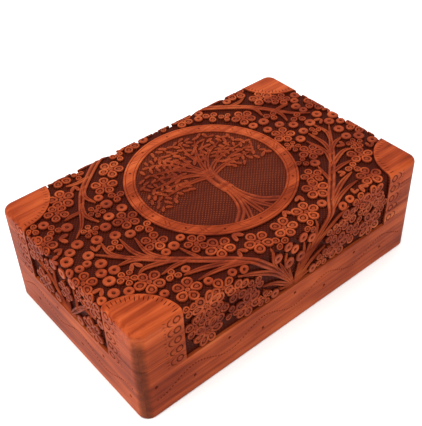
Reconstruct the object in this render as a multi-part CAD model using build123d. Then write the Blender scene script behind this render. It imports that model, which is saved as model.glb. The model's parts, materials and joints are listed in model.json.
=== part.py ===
from build123d import *
import os
from math import radians, tan

# Hand-carved rosewood box with a hinged lid, in millimetres.
# The origin is the centre of the underside. +X runs along the length, the front is at -Y, the hinges
# are at +Y and +Z is up. The box is modelled closed.

os.makedirs("parts", exist_ok=True)

# Outside of the closed box
box_length = 254.0
box_width = 158.0
box_height = 83.0
corner_radius = 8.0
top_edge_radius = 4.0
foot_edge_radius = 1.5

# Boards
wall_thickness = 12.0
top_board_thickness = 14.0
bottom_thickness = 5.0
bottom_rebate_width = 5.0
bottom_lift = 0.5
bottom_clearance = 0.15
rim_chamfer = 0.8

# Parting of base and lid
seam_height = 48.0
seam_gap = 0.3

# Opening of the lid: it leans back until the bevels behind the hinges meet
opening_angle = 100.0
stop_clearance_angle = 1.0

# Brass butt hinges, let into the edges of the back boards
hinge_spacing = 150.0
hinge_length = 26.0
hinge_inset = 2.5
knuckle_radius = 2.0
knuckle_count = 5
knuckle_gap = 0.2
barrel_clearance = 0.3
leaf_thickness = 1.1
leaf_lip = 1.6
leaf_corner_radius = 1.2
pin_radius = 0.85
pin_clearance = 0.05

# Countersunk screws, two to a leaf
screw_spacing = 15.0
screw_head_radius = 1.75
screw_shank_radius = 0.85
screw_length = 8.5
screw_clearance = 0.05

# Places that follow from the sizes above
lid_bottom = seam_height + seam_gap
rail_top = box_height - top_board_thickness
inner_length = box_length - 2 * wall_thickness
inner_width = box_width - 2 * wall_thickness
bottom_rebate_height = bottom_lift + bottom_thickness
axis_y = box_width / 2 - hinge_inset
axis_z = seam_height + seam_gap / 2
leaf_reach = wall_thickness - hinge_inset - leaf_lip
leaf_near_edge = knuckle_radius + barrel_clearance
screw_offset = (leaf_reach + leaf_near_edge) / 2
hinge_places = {"left": -hinge_spacing / 2, "right": hinge_spacing / 2}
overcut = 1.0
down = -1
up = 1


def board_ring(z_low, z_high):
    """The four boards round the box as one ring, before the mitres part them."""
    with BuildPart() as ring:
        with BuildSketch(Plane.XY.offset(z_low)):
            RectangleRounded(box_length, box_width, corner_radius)
            Rectangle(inner_length, inner_width, mode=Mode.SUBTRACT)
        extrude(amount=z_high - z_low)
    return ring.part


def outline_edges(solid, z_level):
    """The outer edge of a ring or board at one height."""
    loops = solid.faces().filter_by(Axis.Z).filter_by_position(Axis.Z, z_level, z_level)
    return loops[0].outer_wire().edges()


def mouth_edges(ring, z_level):
    """The edge of the cavity's mouth at one height."""
    loops = ring.faces().filter_by(Axis.Z).filter_by_position(Axis.Z, z_level, z_level)
    return loops[0].inner_wires()[0].edges()


def mitred(ring):
    """The ring's four boards, parted at 45 degrees at the corners."""
    half_length = box_length / 2
    half_width = box_width / 2
    ridge = half_length - half_width
    long_side = Polyline(
        (-half_length, -half_width),
        (half_length, -half_width),
        (ridge, 0),
        (-ridge, 0),
        (-half_length, -half_width),
    )
    short_side = Polyline(
        (-half_length, -half_width),
        (-ridge, 0),
        (-half_length, half_width),
        (-half_length, -half_width),
    )
    front = ring & extrude(make_face(long_side), box_height)
    left = ring & extrude(make_face(short_side), box_height)
    back = ring & extrude(make_face(mirror(long_side, about=Plane.XZ)), box_height)
    right = ring & extrude(make_face(mirror(short_side, about=Plane.YZ)), box_height)
    return {"front": front, "back": back, "left": left, "right": right}


def stop_bevel(direction):
    """Wedge taken off the back edge, below the hinge axis or above it."""
    bevel_angle = (opening_angle + stop_clearance_angle) / 2
    reach = hinge_inset + overcut
    rise = direction * reach * tan(radians(bevel_angle))
    outline = Polyline(
        (axis_y, axis_z),
        (axis_y + reach, axis_z),
        (axis_y + reach, axis_z + rise),
        (axis_y, axis_z),
    )
    section = make_face(Plane.YZ * outline)
    return extrude(section, box_length / 2 + overcut, dir=(1, 0, 0), both=True)


def along_x(radius, length, x):
    """A round bar on the hinge axis."""
    return Pos(x, axis_y, axis_z) * Cylinder(radius, length, rotation=(0, 90, 0))


def leaf_plate(hinge_x, face_z, direction):
    """The flat of a leaf before its knuckles, sunk below or above the face that it lies flush with."""
    plate = Box(hinge_length, leaf_reach, leaf_thickness)
    far_corners = plate.edges().filter_by(Axis.Z).group_by(Axis.Y)[0]
    plate = fillet(far_corners, leaf_corner_radius)
    return Pos(hinge_x, axis_y - leaf_reach / 2, face_z + direction * leaf_thickness / 2) * plate


def screw_places(hinge_x):
    """The x of the two screws of a leaf."""
    return [hinge_x - screw_spacing / 2, hinge_x + screw_spacing / 2]


def screw_form(clearance):
    """A screw's turned form, its head flush with the origin and its shank towards -Z."""
    head = screw_head_radius + clearance
    shank = screw_shank_radius + clearance
    depth = screw_length + clearance
    outline = Polyline((0, 0), (head, 0), (shank, -leaf_thickness), (shank, -depth), (0, -depth), (0, 0))
    return revolve(make_face(Plane.XZ * outline), Axis.Z)


def at_leaf(solid, x, face_z, direction):
    """Stands a screw or its hole in a leaf, driven down into the base or up into the lid."""
    turn = 0 if direction == down else 180
    return Pos(x, axis_y - screw_offset, face_z) * Rot(turn, 0, 0) * solid


def knuckle_spans(first):
    """Every second knuckle along a hinge, as its middle and length, counted from the hinge's left end."""
    pitch = hinge_length / knuckle_count
    start = -hinge_length / 2 + pitch / 2
    return [(start + i * pitch, pitch - knuckle_gap) for i in range(first, knuckle_count, 2)]


def hinge_leaf(hinge_x, face_z, direction, first_knuckle):
    """One brass leaf: its flat, its rolled knuckles, the bore for the pin and the screw holes."""
    flat = leaf_plate(hinge_x, face_z, direction)
    near = Box(hinge_length + overcut, 2 * leaf_near_edge, box_height)
    leaf = flat - Pos(hinge_x, axis_y, axis_z) * near
    for offset, length in knuckle_spans(first_knuckle):
        strap = Box(length, leaf_near_edge, leaf_thickness)
        strap_z = face_z + direction * leaf_thickness / 2
        leaf += Pos(hinge_x + offset, axis_y - leaf_near_edge / 2, strap_z) * strap
        leaf += along_x(knuckle_radius, length, hinge_x + offset)
    leaf -= along_x(pin_radius + pin_clearance, hinge_length + overcut, hinge_x)
    for x in screw_places(hinge_x):
        leaf -= at_leaf(screw_form(screw_clearance), x, face_z, direction)
    return leaf


def seated_for_hinges(board, face_z, direction):
    """A back board with its mortises, barrel grooves and screw holes."""
    for hinge_x in hinge_places.values():
        board -= leaf_plate(hinge_x, face_z, direction)
        board -= along_x(knuckle_radius + barrel_clearance, hinge_length + 2 * barrel_clearance, hinge_x)
        for x in screw_places(hinge_x):
            board -= at_leaf(screw_form(screw_clearance), x, face_z, direction)
    return board


def leaf_screws(face_z, direction):
    """The screws of one side of both hinges."""
    screw = screw_form(0.0)
    places = [x for hinge_x in hinge_places.values() for x in screw_places(hinge_x)]
    return Compound(children=[at_leaf(screw, x, face_z, direction) for x in places])


def base_boards():
    """The base's four walls, rebated at the foot for the bottom panel."""
    ring = board_ring(0, seam_height)
    ring = fillet(outline_edges(ring, 0), foot_edge_radius)
    ring = chamfer(mouth_edges(ring, seam_height), rim_chamfer)
    rebate_length = inner_length + 2 * bottom_rebate_width
    rebate_width = inner_width + 2 * bottom_rebate_width
    rebate = Pos(0, 0, bottom_rebate_height / 2) * Box(rebate_length, rebate_width, bottom_rebate_height)
    return mitred(ring - rebate - stop_bevel(down))


def lid_boards():
    """The lid's four rails."""
    ring = board_ring(lid_bottom, rail_top)
    ring = chamfer(mouth_edges(ring, lid_bottom), rim_chamfer)
    return mitred(ring - stop_bevel(up))


def bottom_panel():
    """The floor, glued up into the rebate and clear of the table."""
    length = inner_length + 2 * bottom_rebate_width - 2 * bottom_clearance
    width = inner_width + 2 * bottom_rebate_width - 2 * bottom_clearance
    return Pos(0, 0, bottom_lift + bottom_thickness / 2) * Box(length, width, bottom_thickness)


def top_board():
    """The lid's thick board, its upper edge rounded over."""
    board = extrude(RectangleRounded(box_length, box_width, corner_radius), top_board_thickness)
    board = Pos(0, 0, rail_top) * board
    return fillet(outline_edges(board, box_height), top_edge_radius)


parts = {}

for side, wall in base_boards().items():
    if side == "back":
        wall = seated_for_hinges(wall, seam_height, down)
    parts[f"base_{side}_wall"] = wall
parts["base_bottom_panel"] = bottom_panel()

for side, rail in lid_boards().items():
    if side == "back":
        rail = seated_for_hinges(rail, lid_bottom, up)
    parts[f"lid_{side}_rail"] = rail
parts["lid_top_board"] = top_board()

for side, hinge_x in hinge_places.items():
    parts[f"{side}_hinge_base_leaf"] = hinge_leaf(hinge_x, seam_height, down, 0)
    parts[f"{side}_hinge_lid_leaf"] = hinge_leaf(hinge_x, lid_bottom, up, 1)
    parts[f"{side}_hinge_pin"] = along_x(pin_radius, hinge_length, hinge_x)

parts["base_leaf_screws"] = leaf_screws(seam_height, down)
parts["lid_leaf_screws"] = leaf_screws(lid_bottom, up)

for name, solid in parts.items():
    export_step(solid, f"parts/{name}.step")
    print(name, round(solid.volume, 1))
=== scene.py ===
import json
import random
from math import copysign, cos, hypot, pi, radians, sin

import bmesh
import bpy
from mathutils import Matrix, Vector
from mathutils.kdtree import KDTree


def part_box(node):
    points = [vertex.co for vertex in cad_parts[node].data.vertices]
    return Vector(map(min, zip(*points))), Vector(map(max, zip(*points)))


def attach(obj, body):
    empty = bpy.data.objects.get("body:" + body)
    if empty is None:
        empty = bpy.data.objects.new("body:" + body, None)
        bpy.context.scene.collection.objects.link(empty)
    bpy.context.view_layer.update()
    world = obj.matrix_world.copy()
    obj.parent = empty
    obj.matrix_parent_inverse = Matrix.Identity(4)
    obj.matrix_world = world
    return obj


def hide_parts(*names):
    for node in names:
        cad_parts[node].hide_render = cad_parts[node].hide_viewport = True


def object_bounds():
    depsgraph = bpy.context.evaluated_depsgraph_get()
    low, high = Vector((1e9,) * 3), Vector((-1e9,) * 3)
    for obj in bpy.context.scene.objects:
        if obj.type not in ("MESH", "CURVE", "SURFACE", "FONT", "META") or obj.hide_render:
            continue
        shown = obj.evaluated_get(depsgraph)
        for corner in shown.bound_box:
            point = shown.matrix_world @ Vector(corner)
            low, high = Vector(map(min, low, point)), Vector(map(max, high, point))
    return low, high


# Carved rosewood box. The pattern is drawn flat, in millimetres, on one sheet: the top of the lid with a
# flap for each wall. Every motif is then laid onto the box, over the lid's rounded edge and down the walls.
# A lift is a height over the wood's surface, so the carved ground has a lift below zero.

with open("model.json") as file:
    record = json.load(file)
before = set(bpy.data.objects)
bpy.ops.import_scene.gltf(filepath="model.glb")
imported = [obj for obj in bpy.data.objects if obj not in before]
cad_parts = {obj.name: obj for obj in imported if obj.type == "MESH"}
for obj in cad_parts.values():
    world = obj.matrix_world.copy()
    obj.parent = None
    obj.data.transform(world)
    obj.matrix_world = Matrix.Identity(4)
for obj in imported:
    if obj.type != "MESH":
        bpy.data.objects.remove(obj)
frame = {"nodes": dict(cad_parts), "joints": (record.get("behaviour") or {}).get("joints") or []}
cad_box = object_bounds()
lid_hinge = frame["joints"][0]

# The box, in millimetres
MM = 0.001
top_corner = Vector(cad_box[1])
half_length = top_corner.x / MM
half_width = top_corner.y / MM
height = top_corner.z / MM
joint_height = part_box("lid_top_board")[0].z / MM
seam_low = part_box("base_front_wall")[1].z / MM
seam_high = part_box("lid_front_rail")[0].z / MM

# The lid's rounded edge, and where the flat of the top ends
edge_round = 4.0
flat_x = half_length - edge_round
flat_y = half_width - edge_round
round_path = edge_round * pi / 2

# The carved field: its depth, its foot on the walls, its middle, the plain quarter circles at the corners
ground_depth = 2.2
field_foot = 35.3
field_shift = Vector((2.0, 1.0))
plain_corner = 33.5

# How deep the carving is rooted, a little under the ground
root_level = -ground_depth - 0.15

# The medallion on the lid
ring_centre = Vector((2.5, 7.0))
ring_outer = 62.5
ring_inner = 53.5
medallion_depth = 1.3

# The carver's unevenness: turn in radians, place and depth in millimetres, size as a share
turn_error = 0.05
place_error = 0.15
depth_error = 0.2
size_error = 0.05
hand = random.Random(7)

# Circles of the sheet that vines, blossoms and buds already take, as pairs of middle and radius
claimed = []


# Finishes


class Wire:
    """A socket of a finish, with arithmetic that adds Math nodes."""

    def __init__(self, finish, socket):
        self.finish = finish
        self.socket = socket

    def sum(self, operation, first, second):
        return self.finish.node("ShaderNodeMath", {"operation": operation}, {0: first, 1: second})

    def __add__(self, other):
        return self.sum("ADD", self, other)

    __radd__ = __add__

    def __sub__(self, other):
        return self.sum("SUBTRACT", self, other)

    def __rsub__(self, other):
        return self.sum("SUBTRACT", other, self)

    def __mul__(self, other):
        return self.sum("MULTIPLY", self, other)

    __rmul__ = __mul__

    def __abs__(self):
        return self.finish.node("ShaderNodeMath", {"operation": "ABSOLUTE"}, {0: self})


class Finish:
    """A material, with one method that adds any node."""

    def __init__(self, name):
        self.material = bpy.data.materials.new(name)
        self.material.use_nodes = True
        self.tree = self.material.node_tree
        self.shader = self.tree.nodes["Principled BSDF"]

    def node(self, kind, settings=None, inputs=None, output=0):
        made = self.tree.nodes.new(kind)
        for name, value in (settings or {}).items():
            if name == "stops":
                self.set_stops(made.color_ramp, value)
            else:
                setattr(made, name, value)
        for name, value in (inputs or {}).items():
            self.feed(made.inputs[name], value)
        return Wire(self, made.outputs[output])

    def set_stops(self, ramp, stops):
        while len(ramp.elements) < len(stops):
            ramp.elements.new(1.0)
        for element, (place, colour) in zip(ramp.elements, stops):
            element.position = place
            element.color = (*colour, 1.0)

    def feed(self, socket, value):
        if isinstance(value, Wire):
            self.tree.links.new(value.socket, socket)
        else:
            socket.default_value = value

    def surface(self, **values):
        for name, value in values.items():
            self.feed(self.shader.inputs[name.replace("_", " ")], value)

    def coordinates(self):
        """Object coordinates."""
        return self.node("ShaderNodeTexCoord", output="Object")

    def axes(self):
        """The three object coordinates, each by itself."""
        apart = self.node("ShaderNodeSeparateXYZ", {}, {"Vector": self.coordinates()})
        return [Wire(self, output) for output in apart.socket.node.outputs]

    def place(self, stretch, shift=(0.0, 0.0, 0.0)):
        """Object coordinates, stretched and shifted."""
        inputs = {"Vector": self.coordinates(), "Location": shift, "Scale": stretch}
        return self.node("ShaderNodeMapping", {}, inputs)

    def noise(self, vector, scale=1.0, detail=2.0, roughness=0.5, distortion=0.0):
        inputs = {
            "Vector": vector,
            "Scale": scale,
            "Detail": detail,
            "Roughness": roughness,
            "Distortion": distortion,
        }
        return self.node("ShaderNodeTexNoise", {}, inputs)

    def ramp(self, value, stops):
        return self.node("ShaderNodeValToRGB", {"stops": stops}, {"Fac": value})

    def span(self, value, start, end, low=0.0, high=1.0):
        """The value's stretch from start to end, taken to low and high and held there."""
        inputs = {"Value": value, "From Min": start, "From Max": end, "To Min": low, "To Max": high}
        return self.node("ShaderNodeMapRange", {"clamp": True}, inputs)

    def blend(self, share, first, second):
        """Two colours mixed. A Mix node's sockets for colours come after those for numbers and vectors."""
        return self.node("ShaderNodeMix", {"data_type": "RGBA"}, {0: share, 6: first, 7: second}, 2)

    def bump(self, strength, distance, relief):
        inputs = {"Strength": strength, "Distance": distance, "Height": relief}
        return self.node("ShaderNodeBump", {}, inputs)


# The wood's tones along its figure, and the colours that lie over them
wood_tones = [
    (0.36, (0.1, 0.011, 0.0028)),
    (0.47, (0.215, 0.03, 0.0075)),
    (0.56, (0.33, 0.056, 0.0145)),
    (0.68, (0.45, 0.105, 0.03)),
]
pore_brown = (0.05, 0.006, 0.002, 1.0)
# Painted shade and painted dark reflection for the rounded upright corners
corner_shade_brown = (0.05, 0.014, 0.007, 1.0)
unpolished_brown = (0.135, 0.021, 0.012, 1.0)
# Painted shade for the carved ground and the relief's sides
recess_shade_brown = (0.03, 0.0035, 0.002, 1.0)
hatch_red = (0.3, 0.05, 0.015, 1.0)


def rosewood(name, along, seed, carved=True, brightness=1.0):
    """Lacquered rosewood, its grain along X or Y. Each seed is another place in the plank."""
    finish = Finish(name)
    shift = (0.37 * seed, 0.61 * seed, 0.83 * seed)

    def grain(run, across, **looks):
        stretch = (run, across, across) if along == "X" else (across, run, across)
        return finish.noise(finish.place(stretch, shift), **looks)

    bands = grain(run=4.0, across=70.0, detail=3.0, distortion=0.8)
    lines = grain(run=9.0, across=380.0, detail=4.0, roughness=0.6, distortion=0.25)
    clouds = grain(run=22.0, across=40.0)
    open_pores = finish.span(grain(run=110.0, across=2300.0), 0.6, 0.7)
    figure = bands * 0.42 + lines * 0.3 + clouds * 0.28
    tones = [(place, tuple(value * brightness for value in tone)) for place, tone in wood_tones]
    wood = finish.ramp(figure, tones)
    wood = finish.blend(open_pores * 0.35, wood, pore_brown)
    # Painted shade and a painted dark reflection down the rounded upright corners
    wood = finish.blend(corner_shade_band(finish) * 0.68, wood, corner_shade_brown)
    relief = lines * 0.25 - open_pores * 0.35
    dullness = 0.0
    if carved:
        wood, relief, dullness = carving_shade_and_marks(finish, wood, relief, clouds, shift)
    finish.surface(
        Base_Color=wood,
        Roughness=lines * 0.12 + dullness + 0.34,
        Normal=finish.bump(strength=0.5, distance=0.0003, relief=relief),
        Specular_IOR_Level=0.03,
        Specular_Tint=(1.0, 0.6, 0.4, 1.0),
        Coat_Weight=0.025,
        Coat_Roughness=0.25,
        IOR=1.5,
    )
    return finish.material


def carving_shade_and_marks(finish, wood, relief, clouds, shift):
    """Adds what follows the carving: dull low crests, painted shade that darkens the relief's sides and the
    ground, hatching and knife marks.
    """
    depth = finish.node("ShaderNodeAttribute", {"attribute_name": "depth"}, output="Fac")
    wood = finish.blend(finish.span(depth, 0.0, 0.1) * 0.42, wood, unpolished_brown)
    # Painted shade: darker the deeper the cut, nearly black on the ground
    wood = finish.blend(finish.span(depth, 0.12, 0.65, 0.0, 0.96), wood, recess_shade_brown)
    # The medallion's floor lies at 0.59 of the full depth, and its hatching is brighter than the field's
    worn = finish.span(clouds, 0.4, 0.55, 0.35, 1.0)
    hatch = hatching(finish) * finish.span(depth, 0.5, 0.58) * worn * finish.span(depth, 0.66, 0.9, 1.0, 0.3)
    wood = finish.blend(hatch * 0.62, wood, hatch_red)
    knife = finish.noise(finish.place((170.0, 170.0, 170.0), shift))
    return wood, relief + knife * 0.5 + hatch * 2.6, finish.span(depth, 0.1, 0.9, 0.0, 0.25)


def corner_shade_band(finish):
    """Painted shade and a painted dark reflection: a dark band down the rounded upright corners, in metres.
    """
    outer = 0.0042
    inner = 0.0075
    fade_top = 0.082
    fade_foot = 0.07
    x, y, z = finish.axes()
    near_end = finish.span(abs(x), half_length * MM - inner, half_length * MM - outer)
    near_side = finish.span(abs(y), half_width * MM - inner, half_width * MM - outer)
    return near_end * near_side * finish.span(z, fade_top, fade_foot)


def hatching(finish):
    """Fine crossed chisel lines over the carved ground."""
    closeness = 2300.0
    waver = 9.0
    coordinates = finish.coordinates()
    sway = finish.noise(coordinates, 60.0, 1.0) * waver

    def ridges(direction):
        inputs = {0: coordinates, 1: direction}
        row = finish.node("ShaderNodeVectorMath", {"operation": "DOT_PRODUCT"}, inputs, "Value")
        wave = finish.node("ShaderNodeMath", {"operation": "SINE"}, {0: row * closeness + sway})
        return finish.span(wave, -0.3, 0.9)

    return ridges((1.0, 1.0, 1.0)) * ridges((1.0, -1.0, 0.15))


def brass(name):
    """Rolled brass, a little tarnished."""
    finish = Finish(name)
    tarnish = finish.noise(finish.place((260.0, 260.0, 260.0)), detail=4.0, roughness=0.6)
    brushed = finish.noise(finish.place((40.0, 1400.0, 1400.0)))
    finish.surface(
        Base_Color=finish.ramp(tarnish, [(0.35, (0.36, 0.21, 0.07)), (0.62, (0.72, 0.5, 0.2))]),
        Metallic=1.0,
        Roughness=finish.span(tarnish, 0.3, 0.7, 0.42, 0.24),
        Normal=finish.bump(strength=0.2, distance=0.0001, relief=brushed),
    )
    return finish.material


def floor_paper(name):
    """Pale matt paper."""
    finish = Finish(name)
    fibre = finish.noise(finish.place((900.0, 900.0, 900.0)), detail=3.0)
    finish.surface(
        Base_Color=finish.ramp(fibre, [(0.3, (0.93, 0.92, 0.9)), (0.7, (0.97, 0.965, 0.95))]),
        Roughness=0.9,
        Normal=finish.bump(strength=0.05, distance=0.0001, relief=fibre),
    )
    return finish.material


# Sheets and forms


def as_mesh(name, sheet):
    """A mesh from a bmesh."""
    mesh = bpy.data.meshes.new(name)
    sheet.to_mesh(mesh)
    sheet.free()
    return mesh


def as_object(name, sheet, *materials):
    """A mesh object from a bmesh."""
    mesh = as_mesh(name, sheet)
    made = bpy.data.objects.new(name, mesh)
    bpy.context.scene.collection.objects.link(made)
    for material in materials:
        mesh.materials.append(material)
    return made


def discard(made):
    """Removes a helper object and its mesh."""
    mesh = made.data
    bpy.data.objects.remove(made)
    bpy.data.meshes.remove(mesh)


def add_form(sheet, form, place=(0, 0)):
    """Adds a small closed form to a sheet at a place."""
    bmesh.ops.translate(form, vec=(place[0], place[1], 0), verts=form.verts[:])
    bmesh.ops.recalc_face_normals(form, faces=form.faces[:])
    mesh = as_mesh("form", form)
    sheet.from_mesh(mesh)
    bpy.data.meshes.remove(mesh)


def new_verts(raised):
    """The vertices that an extrusion made."""
    return [part for part in raised["geom"] if isinstance(part, bmesh.types.BMVert)]


def turned_form(outline, steps):
    """A ring spun from the outline of its section, which is pairs of radius and lift."""
    form = bmesh.new()
    verts = [form.verts.new((radius, 0, lift)) for radius, lift in outline]
    edges = [form.edges.new(pair) for pair in zip(verts, verts[1:] + verts[:1])]
    bmesh.ops.spin(form, geom=verts + edges, cent=(0, 0, 0), axis=(0, 0, 1), dvec=(0, 0, 0),
                   angle=2 * pi, steps=steps, use_merge=True)
    return form


def on_circle(angle):
    """The direction of an angle on the sheet."""
    return Vector((cos(angle), sin(angle)))


# From the sheet to the box


def over_edge(distance, flat, lift):
    """How far out and how high a point lies that runs off the flat of the top and down a wall."""
    past = distance - flat
    if past <= 0:
        return distance, height + lift
    if past < round_path:
        turn = past / edge_round
        radius = edge_round + lift
        return flat + radius * sin(turn), height - edge_round + radius * cos(turn)
    return flat + edge_round + lift, height - edge_round - (past - round_path)


def lay(point):
    """A point of the sheet, with its lift as z, brought onto the box."""
    x, y, lift = point
    if abs(y) > flat_y:
        out, z = over_edge(abs(y), flat_y, lift)
        return Vector((x, copysign(out, y), z)) * MM
    out, z = over_edge(abs(x), flat_x, lift)
    return Vector((copysign(out, x), y, z)) * MM


def on_long_wall(z):
    """Distance from the sheet's middle of a height on the front or back wall."""
    return flat_y + round_path + height - edge_round - z


def on_short_wall(z):
    """Distance from the sheet's middle of a height on an end wall."""
    return flat_x + round_path + height - edge_round - z


def crease(sheet):
    """Cuts a flat mesh along the lines where it bends over the lid's edge."""
    steps = 4
    for flat, axis in ((flat_x, Vector((1, 0, 0))), (flat_y, Vector((0, 1, 0)))):
        for step in range(steps + 1):
            for side in (-1, 1):
                place = axis * side * (flat + round_path * step / steps)
                parts = sheet.verts[:] + sheet.edges[:] + sheet.faces[:]
                bmesh.ops.bisect_plane(sheet, geom=parts, dist=1e-4, plane_co=place, plane_no=axis)


def lay_all(sheet):
    """Lays a flat mesh onto the box and keeps how deep each point is cut."""
    crease(sheet)
    depth = sheet.verts.layers.float.new("depth")
    for vert in sheet.verts:
        vert[depth] = min(max(-vert.co.z / ground_depth, 0.0), 1.0)
        vert.co = lay(vert.co)


# The carved field


def field_quarter():
    """The field's outline from the foot of the front wall, round a corner, to the foot of the right wall."""
    steps = 16
    corner = Vector((half_length, -half_width))
    angles = [pi - pi / 2 * step / steps for step in range(steps + 1)]
    start = Vector((half_length - plain_corner, -on_long_wall(field_foot)))
    end = Vector((on_short_wall(field_foot), plain_corner - half_width))
    return [start] + [corner + on_circle(angle) * plain_corner for angle in angles] + [end]


def field_outline():
    """All round the field."""
    quarter = field_quarter()
    right_back = [Vector((p.x, -p.y)) for p in reversed(quarter)]
    left_back = [Vector((-p.x, -p.y)) for p in quarter]
    left_front = [Vector((-p.x, p.y)) for p in reversed(quarter)]
    return [point + field_shift for point in quarter + right_back + left_back + left_front]


def field_room(point):
    """How far inside the field's outline a point of the sheet lies."""
    x, y = (abs(value) for value in point - field_shift)
    to_foot = min(on_short_wall(field_foot) - x, on_long_wall(field_foot) - y)
    if y > half_width:
        return min(to_foot, half_length - plain_corner - x)
    if x > half_length:
        return min(to_foot, half_width - plain_corner - y)
    return min(to_foot, hypot(half_length - x, half_width - y) - plain_corner)


def field_cutter():
    """The solid that sinks the carved ground into the boards."""
    clear_of_wood = 1.5
    sheet = bmesh.new()
    sheet.faces.new([sheet.verts.new((p.x, p.y, -ground_depth)) for p in field_outline()])
    crease(sheet)
    raised = bmesh.ops.extrude_face_region(sheet, geom=sheet.faces[:], use_keep_orig=True)
    for vert in new_verts(raised):
        vert.co.z = clear_of_wood
    for vert in sheet.verts:
        vert.co = lay(vert.co)
    bmesh.ops.triangulate(sheet, faces=sheet.faces[:])
    bmesh.ops.recalc_face_normals(sheet, faces=sheet.faces[:])
    return as_object("field_cutter", sheet)


# Motifs, each drawn once with its foot at the origin and pointing along +Y


def petal_motif(name, length, width, waist, segments, steps):
    """A rounded petal. Each step shrinks its crown to a share of its size and brings it to a new lift."""
    sheet = bmesh.new()
    bmesh.ops.create_circle(sheet, cap_ends=True, radius=1.0, segments=segments)
    for vert in sheet.verts:
        along = (vert.co.y + 1) / 2
        spread = width / 2 * (1 - waist * (1 - along) ** 2)
        vert.co = Vector((vert.co.x * spread, along * length, root_level))
    middle = Matrix.Translation((0, -length * (0.5 + waist * 0.12), 0))
    crown = sheet.faces[:]
    for step, (share, lift) in enumerate(steps):
        raised = bmesh.ops.extrude_face_region(sheet, geom=crown)
        verts = new_verts(raised)
        if step > 0:
            bmesh.ops.delete(sheet, geom=crown, context="FACES_ONLY")
        crown = [part for part in raised["geom"] if isinstance(part, bmesh.types.BMFace)]
        bmesh.ops.scale(sheet, vec=(share, share, 1), space=middle, verts=verts)
        for vert in verts:
            vert.co.z = lift
    bmesh.ops.recalc_face_normals(sheet, faces=sheet.faces[:])
    return as_mesh(name, sheet)


petal_length = 8.4
bud_radius = 4.0
heart_length = 3.6
petal = petal_motif("petal", length=petal_length + 0.2, width=7.8, waist=0.35, segments=12,
                    steps=[(1.0, -0.55), (0.9, 0.0), (0.68, -0.05), (0.8, -1.25), (0.68, -0.4)])
bud = petal_motif("bud", length=2 * bud_radius, width=2 * bud_radius, waist=0.0, segments=12,
                  steps=[(1.0, -0.55), (0.88, 0.0), (0.42, -0.1), (0.5, -1.3)])
heart = petal_motif("heart", length=heart_length, width=heart_length, waist=0.0, segments=8,
                    steps=[(1.0, -0.3), (0.8, 0.0), (0.4, -0.5)])
leaf = petal_motif("leaf", length=6.4, width=3.0, waist=0.4, segments=8,
                   steps=[(1.0, -0.4), (0.8, 0.0), (0.5, -0.4)])


def press(pattern, motif, place, turn, scale=1.0, lean=1.0):
    """Adds a motif to the pattern at a place, turned and sized, with the unevenness of handwork."""
    angle = turn + hand.gauss(0, turn_error)
    size = scale * hand.uniform(1 - size_error, 1 + size_error)
    shift = (hand.gauss(0, place_error), hand.gauss(0, place_error), -hand.uniform(0.0, depth_error))
    copy = motif.copy()
    copy.transform(Matrix.Translation(Vector((place[0], place[1], 0)) + Vector(shift))
                   @ Matrix.Rotation(angle - pi / 2, 4, "Z")
                   @ Matrix.Diagonal((size * lean, size, 1, 1)))
    pattern.from_mesh(copy)
    bpy.data.meshes.remove(copy)


def round_bud(pattern, place, radius):
    """A single ringed bud."""
    claimed.append((Vector(place), radius))
    press(pattern, bud, Vector(place) - Vector((0, radius)), pi / 2, radius / bud_radius)


def blossom(pattern, place, radius, count, turn):
    """Petals round a small raised eye. A trefoil has no eye."""
    claimed.append((Vector(place), radius))
    has_eye = count > 3
    eye = 1.7 if has_eye else 0.3
    size = (radius - eye) / petal_length
    lean = min(1.05, 5.5 / count)
    for index in range(count):
        angle = turn + 2 * pi * index / count
        press(pattern, petal, Vector(place) + on_circle(angle) * eye, angle, size, lean)
    if has_eye:
        press(pattern, heart, Vector(place) - Vector((0, heart_length / 2)), pi / 2)


# Strips along a path: vines, roots and engraved lines


def smooth_path(points, steps):
    """Points on a smooth curve through the given ones."""
    knots = [Vector(p) for p in points]
    knots = [knots[0] * 2 - knots[1]] + knots + [knots[-1] * 2 - knots[-2]]
    path = []
    for index in range(1, len(knots) - 2):
        a, b, c, d = knots[index - 1:index + 3]
        for step in range(steps):
            t = step / steps
            path.append(0.5 * (2 * b + (c - a) * t + (2 * a - 5 * b + 4 * c - d) * t ** 2
                               + (3 * b - a - 3 * c + d) * t ** 3))
    return path + [knots[-2]]


def along_path(sheet, path, rows, breadth, lift):
    """Lays a closed strip along a path: its breadth follows the length, its lift the row and the side."""
    count = len(path) - 1
    strip = bmesh.new()
    bmesh.ops.create_grid(strip, x_segments=count, y_segments=rows, size=1.0)
    raised = bmesh.ops.extrude_face_region(strip, geom=strip.faces[:], use_keep_orig=True)
    top = set(new_verts(raised))
    for vert in strip.verts:
        index = round((vert.co.x + 1) / 2 * count)
        across = vert.co.y
        ahead = path[min(index + 1, count)] - path[max(index - 1, 0)]
        side = Vector((-ahead.y, ahead.x)).normalized()
        width = breadth(index / count)
        spot = path[index] + side * across * width / 2
        vert.co = Vector((spot.x, spot.y, lift(abs(across), vert in top, width)))
    add_form(sheet, strip)


def strand(pattern, points, start, swell, end):
    """A stem, blade or root: two ridges with a V-cut between, swelling and then tapering."""
    path = smooth_path(points, 6)
    fullness = 1.12
    edge_drop = 0.6
    deepest_cut = 1.1
    low = hand.uniform(0.0, 0.12)

    def breadth(share):
        return fullness * (start * (1 - share) ** 2 + 2 * swell * share * (1 - share) + end * share ** 2)

    def lift(across, is_top, width):
        if not is_top:
            return root_level
        if across > 0.9:
            return -edge_drop - low
        if across > 0.4:
            return -low
        return -low - min(deepest_cut, width / 4)

    along_path(pattern, path, 4, breadth, lift)
    for index, spot in enumerate(path):
        claimed.append((spot, breadth(index / (len(path) - 1)) / 2))


# Engraving cutters stand this far out of the wood, and their V opens just above it
cutter_top = 0.8
cutter_mouth = 0.1


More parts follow.
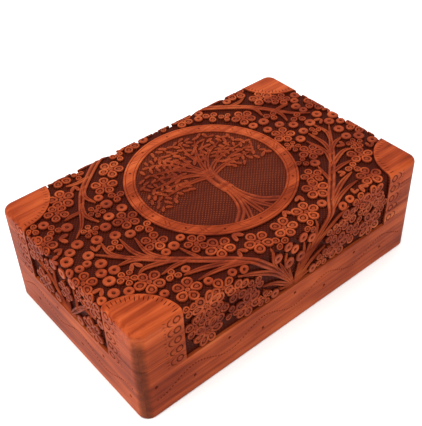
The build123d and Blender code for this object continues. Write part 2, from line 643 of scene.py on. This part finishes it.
def incise(cutter, points, width, deep, steps=3):
    """A V-shaped line for the engraving cutter, running out at its ends."""
    end_share = 0.25

    def breadth(share):
        return width * min(1.0, end_share + 3 * share, end_share + 3 * (1 - share))

    def lift(across, is_top, breadth_here):
        if is_top:
            return cutter_top
        return cutter_mouth if across > 0.5 else -deep * breadth_here / width

    along_path(cutter, smooth_path(points, steps), 2, breadth, lift)


def incise_ring(cutter, place, radius, width, deep):
    """A V-shaped circle for the engraving cutter."""
    inner = radius - width / 2
    outer = radius + width / 2
    outline = [(inner, cutter_mouth), (radius, -deep), (outer, cutter_mouth),
               (outer, cutter_top), (inner, cutter_top)]
    add_form(cutter, turned_form(outline, 20), place)


def drill(cutter, place, radius, deep):
    """A drilled dot for the engraving cutter: a blunt cone that has its radius at the wood's surface."""
    point = 0.35
    rise = 0.4
    form = bmesh.new()
    bmesh.ops.create_cone(form, cap_ends=True, segments=8, radius1=radius * point,
                          radius2=radius * (1 + (1 - point) * rise / deep), depth=deep + rise)
    bmesh.ops.translate(form, vec=(0, 0, (rise - deep) / 2), verts=form.verts[:])
    add_form(cutter, form, place)


# Layout. A vine is its points, then its width at the start, in its swell and at the end. A blossom is its
# place, radius and number of petals, a bud its place and radius. Distances across are from the pattern's
# middle, and each side mirrors the other.

front_vines = [
    ([(0.6, -121.5), (8, -110), (17, -97), (29.5, -83.5), (43, -68.5), (57, -56), (77, -37.7), (88, -26.6),
      (97, -17), (107, -6)], 1.6, 8.5, 0.8),
    ([(43, -70), (58, -62.5), (68, -59), (76, -57.5)], 2.5, 5.0, 0.8),
    ([(38, -76), (50, -70), (62, -67), (72, -66.5)], 2.0, 4.4, 0.8),
    ([(70, -44), (81, -39), (90.6, -36.3), (97, -38.5)], 2.5, 5.0, 0.8),
    ([(81, -34), (87, -20), (87, -4)], 2.0, 5.0, 0.8),
    ([(73, -41), (80.5, -27), (79, -10)], 2.0, 4.6, 0.8),
    ([(83, -31), (93, -25), (102, -23.5)], 2.0, 4.6, 0.8),
    ([(58, -54.5), (60.5, -46), (63, -37)], 1.6, 3.6, 0.8),
    ([(92, -23), (99, -11), (98, 2)], 2.0, 4.2, 0.8),
    ([(64, -49), (76, -47), (86, -48)], 2.0, 4.4, 0.8),
    ([(1, -121.7), (9, -116), (17, -110), (29, -104.5)], 1.2, 5.6, 0.6),
    ([(0.9, -121.6), (9, -110), (20, -98.5), (36, -88), (50, -81)], 1.4, 6.6, 0.8),
    ([(1, -122.3), (8, -120), (13.5, -118.5)], 1.0, 3.0, 0.6),
    ([(0.4, -120), (3.8, -110), (4.8, -103)], 1.0, 3.8, 0.8),
    ([(2.5, -117), (9, -104), (14, -93)], 1.0, 4.2, 0.8),
    ([(15, -99), (19, -89), (20.5, -76)], 1.4, 4.4, 0.8),
    ([(6, -105), (8.5, -96), (8, -88)], 1.0, 3.2, 0.8),
]
front_blossoms = [
    (76, -112, 12.0, 7), (76, -88.6, 11.8, 7), (41.7, -112.3, 11.3, 6), (50.5, -93, 9.6, 5),
    (43.4, -53.6, 10.0, 5), (21.7, -66, 10.0, 5), (95.5, -48, 10.0, 5), (71.5, -21, 9.4, 5),
    (82, -68.5, 10.0, 5),
]
front_buds = [
    (17.8, -119.3, 3.8), (5.4, -99, 4.4), (15.6, -88.5, 4.0), (7, -83.5, 3.8), (110.5, -3, 4.2),
    (98.2, 5.5, 4.2), (87, 1, 4.0), (78, -4.5, 4.0), (105.5, -25, 4.0), (113, -31, 4.2),
    (108.5, -14.5, 4.2), (64.5, -32.5, 4.0), (117, -41, 4.0),
]
back_vines = [
    ([(0.6, 121.5), (8, 110), (17, 98), (30, 89), (42, 82), (57, 72), (76.5, 55.4), (88, 40), (98, 24),
      (108, 15)], 1.6, 8.5, 0.8),
    ([(74, 58), (80, 48), (78, 37)], 2.0, 4.6, 0.8),
    ([(86, 43), (90.5, 31), (87.5, 19)], 2.0, 4.6, 0.8),
    ([(91, 36), (98, 36.5), (104, 35.5)], 2.0, 4.2, 0.8),
    ([(66, 65), (76, 64), (84, 66)], 2.0, 4.4, 0.8),
    ([(44, 81), (56, 80), (68, 76)], 2.0, 4.4, 0.8),
    ([(1, 121.7), (9, 116), (17, 110), (29, 104.5)], 1.2, 5.6, 0.6),
    ([(0.9, 121.6), (10, 112), (22, 103), (37, 94.5), (46, 91)], 1.4, 5.6, 0.8),
    ([(1, 122.3), (8, 120), (13.5, 118.5)], 1.0, 3.0, 0.6),
    ([(0.4, 120), (3.8, 110), (4.8, 103)], 1.0, 3.8, 0.8),
    ([(2.5, 117), (9, 104), (14, 93)], 1.0, 4.2, 0.8),
]
back_blossoms = [
    (76, 112, 12.0, 7), (76, 89, 11.4, 7), (41.7, 112.3, 11.3, 6), (56, 97, 9.0, 5), (94, 56, 10.0, 5),
]
back_buds = [
    (17.8, 119.3, 3.8), (5.4, 99, 4.4), (15.6, 88.5, 4.0), (106, 29, 4.2), (110.5, 10, 4.2),
    (117, 41, 4.0), (73, 31, 4.4), (79.5, 19.5, 4.0), (87, 12, 4.0),
]
front_middle_blossom = (-67.5, 9.8, 5)
front_middle_bud = (-89, 3.8)

# End walls: distance from the sheet's middle, then across
end_vines = [
    ([(170.5, 0.5), (163, 7), (152, 17), (141, 29)], 1.4, 7.0, 0.8),
    ([(170, 0), (162, 1), (157.5, 0.8)], 1.2, 3.4, 0.8),
    ([(171, 1), (168, 6), (166.8, 9.5)], 1.0, 3.0, 0.6),
    ([(157, 12), (148, 13), (138, 12)], 1.4, 4.4, 0.8),
    ([(160, 9), (149, 20), (146, 36)], 1.4, 4.4, 0.8),
]
end_blossoms = [(162, 29.5, 11.0, 6), (135, 33.5, 10.6, 6)]
end_buds = [(166, 13.8, 3.8), (133.5, 11.5, 4.2), (146, 41, 3.8)]
end_middle_blossom = (149.5, 8.6, 6)
end_middle_buds = [(121.5, 4.6), (133, 4.0)]

# The tree, from the ring's middle
roots = [
    ([(-2.5, -12), (-3, -28), (-8.5, -42), (-19, -51)], 2.4, 5.6, 5.0),
    ([(-1.5, -12), (-1.5, -28), (-4.5, -42), (-9.5, -53)], 1.6, 4.2, 3.6),
]
boughs = [
    ([(0.5, -2), (-10, 2), (-24, 3.5), (-38, 2)], 3.4, 4.0, 0.8),
    ([(0.3, 0), (-9, 8), (-22, 13), (-41, 14)], 3.4, 4.0, 0.8),
    ([(0.2, 1), (-6, 12), (-16, 22), (-33, 28)], 3.4, 4.0, 0.8),
    ([(0, 2), (-3, 14), (-9, 28), (-18, 41)], 3.2, 3.8, 0.8),
    ([(-14, 9.5), (-22, 18), (-36, 21)], 1.8, 2.8, 0.6),
    ([(-9, 15), (-13, 27), (-25, 37)], 1.8, 2.8, 0.6),
    ([(-4, 15), (-3, 29), (-7, 46)], 1.8, 2.8, 0.6),
    ([(-16, 3), (-26, 8), (-46, 8)], 1.8, 2.6, 0.6),
]
middle_root = ([(0.5, -12), (0.5, -30), (1, -53)], 2.0, 4.4, 3.6)
trunk = ([(0, -20), (-1.0, -7), (0.6, 6)], 9.0, 8.0, 9.0)


def long_side(pattern, vines, blossoms, buds):
    """The vines of one long side, on both halves of the box."""
    for half in (-1, 1):
        def across(x):
            return ring_centre.x + half * x
        for points, *widths in vines:
            strand(pattern, [(across(x), y) for x, y in points], *widths)
        for x, y, radius, count in blossoms:
            blossom(pattern, (across(x), y), radius, count, hand.uniform(0, 2 * pi / count))
        for x, y, radius in buds:
            round_bud(pattern, (across(x), y), radius)


def end_side(pattern, side):
    """The vines of one end wall, on both halves of the wall."""
    halves = (-1, 1)

    def place(out, across):
        return Vector((side * out, across + field_shift.y))

    for points, *widths in end_vines:
        for half in halves:
            strand(pattern, [place(out, half * across) for out, across in points], *widths)
    for out, across, radius, count in end_blossoms:
        for half in halves:
            blossom(pattern, place(out, half * across), radius, count, hand.uniform(0, 1))
    for out, across, radius in end_buds:
        for half in halves:
            round_bud(pattern, place(out, half * across), radius)
    out, radius, count = end_middle_blossom
    blossom(pattern, place(out, 0), radius, count, 0.3)
    for out, radius in end_middle_buds:
        round_bud(pattern, place(out, 0), radius)


# Least room round a spot for each filling, from the largest to the smallest
blossom_room = 5.6
trefoil_room = 4.3
least_room_on_wall = 5.0
least_room_on_top = 3.2


def free_spots():
    """Spots of the field that the vines leave free, as room, least room and spot, the roomiest first."""
    reach = 14.0
    pitch = 1.6
    tree = KDTree(len(claimed))
    for index, (spot, radius) in enumerate(claimed):
        tree.insert((spot.x, spot.y, 0), index)
    tree.balance()
    across = int(on_short_wall(field_foot) / pitch)
    upward = int(on_long_wall(field_foot) / pitch)
    spots = []
    for column in range(-across, across + 1):
        for row in range(-upward, upward + 1):
            spot = Vector((column + hand.random(), row + hand.random())) * pitch
            on_wall = abs(spot.x) > half_length or abs(spot.y) > half_width
            least = least_room_on_wall if on_wall else least_room_on_top
            room = min(field_room(spot), (spot - ring_centre).length - ring_outer, reach)
            if room < least:
                continue
            for _, index, distance in tree.find_range((spot.x, spot.y, 0), reach):
                room = min(room, distance - claimed[index][1])
            if room > least:
                spots.append((room, least, spot))
    spots.sort(key=lambda entry: -entry[0])
    return spots


def fill_gaps(pattern):
    """Smaller blossoms, trefoils, buds and pairs of leaves wherever the vines leave room."""
    filled = []
    for room, least, spot in free_spots():
        for place, radius in filled:
            room = min(room, (place - spot).length - radius)
            if room < least:
                break
        if room >= least:
            filled.append((spot, fill(pattern, spot, room)))


def fill(pattern, spot, room):
    """Puts what fits at a spot and gives its radius. Petals reach a little past the free room."""
    bud_share = 0.55
    largest_blossom = 9.5
    largest_bud = 3.8
    leaf_reach = 3.4
    if room > blossom_room:
        radius = min(room + 0.6, largest_blossom)
        blossom(pattern, spot, radius, 5, hand.uniform(0, 2))
    elif room > trefoil_room:
        radius = room + 1.0
        blossom(pattern, spot, radius, 3, hand.uniform(0, 2))
    elif hand.random() < bud_share:
        radius = min(room, largest_bud)
        round_bud(pattern, spot, radius)
    else:
        radius = room
        turn = hand.uniform(0, 2 * pi)
        for spread in (-0.5, 0.5):
            foot = spot - on_circle(turn) * radius * 0.9
            press(pattern, leaf, foot, turn + spread, radius / leaf_reach)
    return radius


# Engraving of the plain wood


def engraving():
    """The cutter for the lines and drilled dots of the plain wood."""
    cutter = bmesh.new()
    for sx in (-1, 1):
        for sy in (-1, 1):
            scrolls(cutter, sx, sy)
            corner_strokes(cutter, sx, sy)
    for side in (-1, 1):
        dotted_wave(cutter, side * on_long_wall(0), "X", -86.0, 60.0)
        dotted_wave(cutter, side * on_short_wall(0), "Y", -8.5, 56.0)
    for vert in cutter.verts:
        vert.co = lay(vert.co)
    return as_object("engraving_cutter", cutter)


def scrolls(cutter, sx, sy):
    """Ringed scrolls beside the field, on the two walls that meet at one corner."""
    rows = 5
    first_rise = 4.6
    pitch = 9.0
    wall_x = sx * (half_length - plain_corner)
    wall_y = sy * (half_width - plain_corner)
    for row in range(rows):
        rise = first_rise + pitch * row
        on_long = Vector((wall_x, sy * (on_long_wall(field_foot) - rise)))
        on_short = Vector((sx * (on_short_wall(field_foot) - rise), wall_y))
        scroll(cutter, on_long + field_shift, Vector((sx, 0)))
        scroll(cutter, on_short + field_shift, Vector((0, sy)))


def scroll(cutter, edge, outward):
    """One ringed scroll, with a second line round its outer half and strokes running out from it."""
    clear_of_edge = 4.8
    arc_reach = 7.0
    arc_half = 4.1
    ray_start = 8.4
    ray_end = 11.0
    side = Vector((-outward.y, outward.x))
    middle = edge + outward * (clear_of_edge + hand.uniform(-0.2, 0.4)) + side * hand.uniform(-0.3, 0.3)
    incise_ring(cutter, middle, radius=2.5, width=1.8, deep=0.65)
    arc = [middle + (outward * cos(angle) * arc_reach + side * sin(angle) * arc_half)
           for angle in (radians(-68), radians(-32), 0.0, radians(32), radians(68))]
    incise(cutter, arc, width=1.7, deep=0.6, steps=5)
    for turn in (-0.3, 0.0, 0.3):
        ray = outward * cos(turn) + side * sin(turn)
        end = ray_end + hand.uniform(-0.8, 0.8)
        incise(cutter, [middle + ray * ray_start, middle + ray * end], width=0.9, deep=0.4)


def corner_strokes(cutter, sx, sy):
    """Short strokes inside the rim of one plain quarter circle."""
    strokes = 17
    rim = 0.9
    corner = Vector((sx * half_length, sy * half_width)) + field_shift
    for stroke in range(strokes):
        angle = pi / 2 * (stroke + 0.5) / strokes
        inward = Vector((-sx * cos(angle), -sy * sin(angle)))
        inner = plain_corner - hand.uniform(3.5, 6.5)
        outer = plain_corner - rim
        incise(cutter, [corner + inward * outer, corner + inward * inner], width=0.9, deep=0.6)


def dotted_wave(cutter, foot, along, first_crest, length):
    """Punched dots in a wave along the plain foot of a wall, with a drilled dot at each turn."""
    middle = 21.0
    swing = 5.5
    pitch = 2.4
    under_crest = 6.0
    over_trough = 7.5
    end_margin = 11.0
    limit = (half_length if along == "X" else half_width) - end_margin

    def place(run, z):
        out = foot - copysign(z, foot)
        return (run, out) if along == "X" else (out, run)

    for index in range(int(2 * limit / pitch) + 1):
        run = -limit + index * pitch
        z = middle + swing * cos(2 * pi * (run - first_crest) / length)
        drill(cutter, place(run, z), radius=hand.uniform(0.65, 0.8), deep=1.0)
    turns = int(4 * limit / length) + 2
    for index in range(-turns, turns):
        run = first_crest + index * length / 2
        if abs(run) < limit:
            z = middle - under_crest if index % 2 == 0 else middle + over_trough
            drill(cutter, place(run, z), radius=1.35, deep=1.7)


# The medallion


def medallion_ring():
    """The flat ring, with a fine line cut near each edge, drilled dots and slanting strokes."""
    arris = 0.5
    line_place = 1.8
    line_side = 0.4
    line_deep = 0.45
    inner_half = [(0, root_level), (0, -arris), (arris, 0), (line_place - line_side, 0),
                  (line_place, -line_deep), (line_place + line_side, 0)]
    outline = [(ring_inner + inward, lift) for inward, lift in inner_half]
    outline += [(ring_outer - inward, lift) for inward, lift in reversed(inner_half)]
    sheet = turned_form(outline, 144)
    bmesh.ops.translate(sheet, vec=(ring_centre.x, ring_centre.y, 0), verts=sheet.verts[:])
    bmesh.ops.recalc_face_normals(sheet, faces=sheet.faces[:])
    ring = as_object("ring", sheet)
    marks = ring_marks()
    subtract(ring, marks)
    discard(marks)
    return ring


def ring_marks():
    """The cutter for the ring's dots, with two slanting strokes after each."""
    cutter = bmesh.new()
    count = 14
    margin = 2.6
    slant = 0.07
    middle = (ring_inner + ring_outer) / 2
    for index in range(count):
        angle = 2 * pi * (index + 0.3) / count
        drill(cutter, ring_centre + on_circle(angle) * middle, radius=1.0, deep=1.2)
        for after in (0.154, 0.21):
            start = angle + after
            incise(cutter, [
                ring_centre + on_circle(start) * (ring_inner + margin),
                ring_centre + on_circle(start + slant / 2) * middle,
                ring_centre + on_circle(start + slant) * (ring_outer - margin),
            ], width=0.8, deep=0.5)
    return as_object("ring_marks", cutter)


def medallion_floor(pattern):
    """The raised, finely hatched ground inside the ring."""
    under_ring = 0.6
    sheet = bmesh.new()
    bmesh.ops.create_circle(sheet, cap_ends=True, radius=ring_inner + under_ring, segments=64)
    bmesh.ops.translate(sheet, vec=(0, 0, root_level), verts=sheet.verts[:])
    raised = bmesh.ops.extrude_face_region(sheet, geom=sheet.faces[:], use_keep_orig=True)
    for vert in new_verts(raised):
        vert.co.z = -medallion_depth
    add_form(pattern, sheet, ring_centre)


def tree_of_life(pattern):
    """Roots that curve out to the ring, a short trunk, and branches full of leaves."""
    def grow(vine, side=1):
        points, *widths = vine
        strand(pattern, [ring_centre + Vector((side * x, y)) for x, y in points], *widths)

    for side in (1, -1):
        for vine in roots + boughs:
            grow(vine, side)
    grow(middle_root)
    grow(trunk)
    crown_leaves(pattern)


def crown_leaves(pattern):
    """Leaves scattered over the crown, none close to another or to the trunk."""
    tries = 2600
    least_gap = 4.0
    least_reach = 12.0
    crown_reach = ring_inner - 4.0
    leaf_foot = 3.0
    placed = []
    for _ in range(tries):
        angle = radians(hand.uniform(-10, 190))
        reach = crown_reach * hand.uniform(0.12, 1.0) ** 0.5
        spot = ring_centre + on_circle(angle) * reach
        if reach < least_reach or any((spot - other).length < least_gap for other in placed):
            continue
        placed.append(spot)
        turn = angle + hand.choice((-0.7, 0.7, -1.1, 1.1))
        press(pattern, leaf, spot - on_circle(turn) * leaf_foot, turn, hand.uniform(0.85, 1.1))


def whole_pattern():
    """Every motif of the carving on one flat sheet."""
    pattern = bmesh.new()
    long_side(pattern, front_vines, front_blossoms, front_buds)
    long_side(pattern, back_vines, back_blossoms, back_buds)
    y, radius, count = front_middle_blossom
    blossom(pattern, (ring_centre.x, y), radius, count, -pi / 2)
    y, radius = front_middle_bud
    round_bud(pattern, (ring_centre.x, y), radius)
    for side in (-1, 1):
        end_side(pattern, side)
    fill_gaps(pattern)
    medallion_floor(pattern)
    tree_of_life(pattern)
    ring = medallion_ring()
    pattern.from_mesh(ring.data)
    discard(ring)
    return pattern


# Boards: the plain forms, with the field sunk and the carving standing in it


def trim(carving, place, outward):
    """Cuts a carving off at a plane and closes it there."""
    parts = carving.verts[:] + carving.edges[:] + carving.faces[:]
    result = bmesh.ops.bisect_plane(carving, geom=parts, dist=1e-7, plane_co=place, plane_no=outward,
                                    clear_outer=True)
    rim = [part for part in result["geom_cut"] if isinstance(part, bmesh.types.BMEdge)]
    bmesh.ops.holes_fill(carving, edges=rim, sides=0)


def slice_between(pattern, low=None, high=None):
    """A closed copy of the laid carving between two heights, in millimetres."""
    cut = pattern.copy()
    if low is not None:
        trim(cut, (0, 0, low * MM), (0, 0, -1))
    if high is not None:
        trim(cut, (0, 0, high * MM), (0, 0, 1))
    return cut


def on_side(carving, side):
    """A copy that keeps only the carving of one wall."""
    tests = {
        "front": lambda p: p.y < -flat_y * MM,
        "back": lambda p: p.y > flat_y * MM,
        "left": lambda p: p.x < -flat_x * MM,
        "right": lambda p: p.x > flat_x * MM,
    }
    kept = carving.copy()
    away = [face for face in kept.faces if not tests[side](face.calc_center_median())]
    bmesh.ops.delete(kept, geom=away, context="FACES")
    return kept


def bevel_back(carving, upward):
    """Takes the bevel that the open lid comes to rest on off the back carving, above or below the hinges."""
    clearance_degrees = 1.0
    setback = 0.03
    half_opening = radians(lid_hinge["range_deg"][1] + clearance_degrees) / 2
    outward = Vector((0, sin(half_opening), -upward * cos(half_opening)))
    trim(carving, Vector(lid_hinge["pos_m"]) - outward * setback * MM, outward)


def subtract(board, cutter):
    """Cuts one solid out of another."""
    tool = board.modifiers.new("cut", "BOOLEAN")
    tool.operation = "DIFFERENCE"
    tool.solver = "MANIFOLD"
    tool.object = cutter
    bpy.context.view_layer.update()
    cut = bpy.data.meshes.new_from_object(board.evaluated_get(bpy.context.evaluated_depsgraph_get()))
    board.modifiers.clear()
    board.data = cut


def node_copy(name, node):
    """A merged copy of a board's plain form, its edges just eased."""
    eased = 0.25
    sharp_angle = radians(35)
    sheet = bmesh.new()
    sheet.from_mesh(frame["nodes"][node].data)
    bmesh.ops.remove_doubles(sheet, verts=sheet.verts[:], dist=1e-6)
    bmesh.ops.dissolve_limit(sheet, angle_limit=radians(1), verts=sheet.verts[:], edges=sheet.edges[:])
    sharp = [edge for edge in sheet.edges if edge.is_manifold and edge.calc_face_angle() > sharp_angle]
    bmesh.ops.bevel(sheet, geom=sharp, offset=eased * MM, segments=2, profile=0.5, affect="EDGES",
                    material=-1, clamp_overlap=True)
    return as_object(name, sheet)


def skin_depth(point):
    """How deep a point lies under the box's rounded outside, in millimetres."""
    out = Vector((abs(point.x) / MM - flat_x, abs(point.y) / MM - flat_y,
                  point.z / MM - height + edge_round))
    beyond = Vector([max(value, 0.0) for value in out]).length
    return edge_round - beyond - min(max(out), 0.0)


def mark_depth(mesh):
    """Keeps how deep each point of a board is cut, apart from its rounded corners and its foot."""
    corner = 10.0
    foot = 3.0
    eased = 0.3
    fully_stained = 1.1
    depth = mesh.attributes.new("depth", "FLOAT", "POINT")
    for vert, value in zip(mesh.vertices, depth.data):
        x, y, z = vert.co / MM
        near_corner = abs(x) > half_length - corner and abs(y) > half_width - corner
        under = skin_depth(vert.co)
        sunk = eased < under < ground_depth + 0.1 and not near_corner and z > foot
        value.value = min(under / fully_stained, 1.0) if sunk else 0.0


def inner_faces(mesh):
    """Gives the second, plain finish to a board's inner faces and to the faces at its joints and seam."""
    skin = ground_depth + 0.3
    nearly_level = 0.99
    highest_joint = (joint_height + 0.1) * MM
    for face in mesh.polygons:
        at_joint = abs(face.normal.z) > nearly_level and face.center.z < highest_joint
        face.material_index = 1 if at_joint or skin_depth(face.center) > skin else 0


def shade(mesh):
    """Smooth between faces that nearly agree, the flat ones counting most, so that flat wood stays flat."""
    limit = cos(radians(35))
    square_on = 0.9995
    flat_share = 1000.0
    corners = []
    around = [[] for _ in mesh.vertices]
    for face in mesh.polygons:
        normal = face.normal.copy()
        is_flat = max(abs(value) for value in normal) > square_on
        weighted = normal * (face.area * (flat_share if is_flat else 1.0))
        for index in face.vertices:
            around[index].append((normal, weighted))
            corners.append((index, normal))
    normals = []
    for index, normal in corners:
        total = Vector((0, 0, 0))
        for other, weighted in around[index]:
            if other.dot(normal) > limit:
                total += weighted
        normals.append(total.normalized() if total.length > 0 else normal)
    mesh.shade_smooth()
    mesh.normals_split_custom_set(normals)


def carved_board(name, node, body, carving, cutters, materials):
    """A board with its share of the carving, in place of its plain node."""
    board = node_copy(name, node)
    for cutter in cutters:
        subtract(board, cutter)
    mark_depth(board.data)
    sheet = bmesh.new()
    sheet.from_mesh(board.data)
    relief = as_mesh("relief", carving)
    sheet.from_mesh(relief)
    bpy.data.meshes.remove(relief)
    sheet.to_mesh(board.data)
    sheet.free()
    board.data.materials.clear()
    for material in materials:
        board.data.materials.append(material)
    inner_faces(board.data)
    shade(board.data)
    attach(board, body)
    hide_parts(node)


def carved_boards():
    """The lid's top, its rails and the base's walls."""
    engraved = engraving()
    cutters = [field_cutter(), engraved]
    pattern = whole_pattern()
    lay_all(pattern)
    top_carving = slice_between(pattern, low=joint_height)
    rail_carving = slice_between(pattern, low=seam_high, high=joint_height)
    wall_carving = slice_between(pattern, high=seam_low)
    end_wood = board_wood("end", "Y", 3)
    woods = {
        # The front's wood is made a little darker, as painted shade.
        "front": board_wood("front", "X", 1, 0.95),
        "back": board_wood("back", "X", 2),
        "left": end_wood,
        "right": end_wood,
    }
    top_wood = board_wood("top", "X", 4, 1.16)
    carved_board("carved_top_board", "lid_top_board", "lid", top_carving, cutters, top_wood)
    for side, wood in woods.items():
        on_rail = on_side(rail_carving, side)
        on_wall = on_side(wall_carving, side)
        if side == "back":
            bevel_back(on_rail, 1)
            bevel_back(on_wall, -1)
        carved_board(f"carved_{side}_rail", f"lid_{side}_rail", "lid", on_rail, cutters, wood)
        carved_board(f"carved_{side}_wall", f"base_{side}_wall", "base", on_wall, cutters, wood)
    for cutter in cutters:
        discard(cutter)


def board_wood(name, along, seed, brightness=1.0):
    """The two finishes of a board: its carved outside and its plain inside."""
    outside = rosewood(f"rosewood_{name}", along, seed, brightness=brightness)
    inside = rosewood(f"rosewood_{name}_inside", along, seed, carved=False)
    return [outside, inside]


def finish_node(node, material):
    """Gives a plain node its finish."""
    mesh = frame["nodes"][node].data
    mesh.materials.clear()
    mesh.materials.append(material)


def plain_pieces():
    """The bottom panel, the hinges and their screws, which keep their plain forms."""
    finish_node("base_bottom_panel", rosewood("panel_wood", "X", 5, carved=False))
    hinge_brass = brass("hinge_brass")
    for side in ("left", "right"):
        for piece in ("base_leaf", "lid_leaf", "pin"):
            finish_node(f"{side}_hinge_{piece}", hinge_brass)
    finish_node("base_leaf_screws", hinge_brass)
    finish_node("lid_leaf_screws", hinge_brass)


# Floor, light and camera, in metres


def studio_floor():
    """A wide sheet of paper under the box."""
    sheet = bmesh.new()
    bmesh.ops.create_grid(sheet, x_segments=2, y_segments=2, size=4.0)
    floor = as_object("studio_floor", sheet, floor_paper("floor_paper"))


def soft_light(name, place, size, power):
    """A square soft box aimed at the box's middle."""
    aim = Vector((0, 0, 0.04))
    data = bpy.data.lights.new(name, "AREA")
    data.shape = "SQUARE"
    data.size = size
    data.energy = power
    lamp = bpy.data.objects.new(name, data)
    lamp.location = place
    lamp.rotation_euler = (aim - Vector(place)).to_track_quat("-Z", "Y").to_euler()
    bpy.context.scene.collection.objects.link(lamp)


def studio_world(strength):
    """Even white surroundings."""
    world = bpy.data.worlds.new("studio_world")
    world.use_nodes = True
    sky = world.node_tree.nodes["Background"]
    sky.inputs["Color"].default_value = (1.0, 1.0, 1.0, 1.0)
    sky.inputs["Strength"].default_value = strength
    bpy.context.scene.world = world


def photo_camera():
    """The camera at the photograph's viewing angle."""
    azimuth = radians(-38.49)
    elevation = radians(41.14)
    roll = radians(-2.41)
    distance = 0.6445
    target = Vector((0.03496, 0.04963, 0.0))
    photo_height = 426
    focal_pixels = 774.0
    back = Vector((sin(azimuth) * cos(elevation), -cos(azimuth) * cos(elevation), sin(elevation)))
    right = (-back).cross(Vector((0, 0, 1))).normalized()
    up = right.cross(-back)
    rolled_right = right * cos(roll) + up * sin(roll)
    rolled_up = up * cos(roll) - right * sin(roll)
    turn = Matrix((rolled_right, rolled_up, back)).transposed().to_4x4()
    data = bpy.data.cameras.new("photo_camera")
    data.sensor_width = 36.0
    data.lens = focal_pixels / photo_height * data.sensor_width
    data.clip_start = 0.01
    camera = bpy.data.objects.new("photo_camera", data)
    camera.matrix_world = Matrix.Translation(target + back * distance) @ turn
    bpy.context.scene.collection.objects.link(camera)
    bpy.context.scene.camera = camera


carved_boards()
plain_pieces()
studio_floor()
studio_world(1.15)
soft_light("overhead_softbox", (-0.25, -0.1, 1.5), size=1.2, power=13)
soft_light("left_softbox", (-1.2, -0.1, 0.7), size=0.8, power=5)
photo_camera()
bpy.context.scene.view_settings.view_transform = "Standard"
